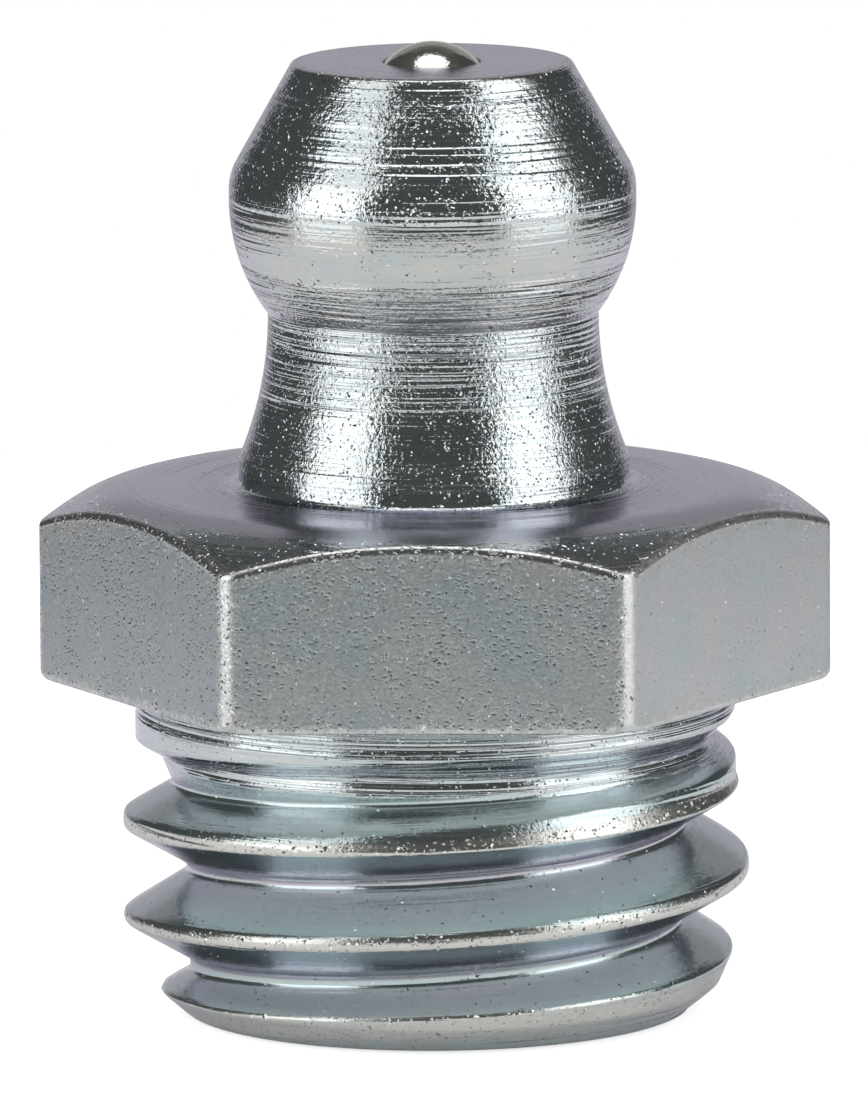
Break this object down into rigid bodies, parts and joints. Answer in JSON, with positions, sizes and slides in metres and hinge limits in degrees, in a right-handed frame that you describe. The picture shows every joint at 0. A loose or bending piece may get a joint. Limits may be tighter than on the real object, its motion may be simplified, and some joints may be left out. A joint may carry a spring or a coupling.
{
  "type": "grease nipple",
  "caption": "Straight cone-type grease nipple: ball-closed inlet in a grip head, hexagon for a spanner and a short external metric thread.",
  "frame": {"origin": "centre of the flat thread end, on the nipple's axis", "axes": "+Z along the nipple's axis, from the thread end to the grease head; +X through an edge of the hexagon, so two of its flats face +Y and -Y"},
  "size_m": [0.0124, 0.011, 0.0154],
  "materials": {
    "zinc_plated_steel": "turned steel with thin clear-passivated zinc plating",
    "bearing_steel": "polished hardened ball",
    "spring_steel": "drawn spring wire"
  },
  "bodies": {
    "nipple": {"nipple_body": "zinc_plated_steel", "ball_spring": "spring_steel"},
    "ball": {"check_ball": "bearing_steel"}
  },
  "joints": [
    {"name": "ball_press", "type": "slide", "parent": "nipple", "child": "ball", "axis": [0, 0, -1], "range_m": [0, 0.0008], "stiffness_N_per_m": 250, "deforming": ["ball_spring"]}
  ]
}
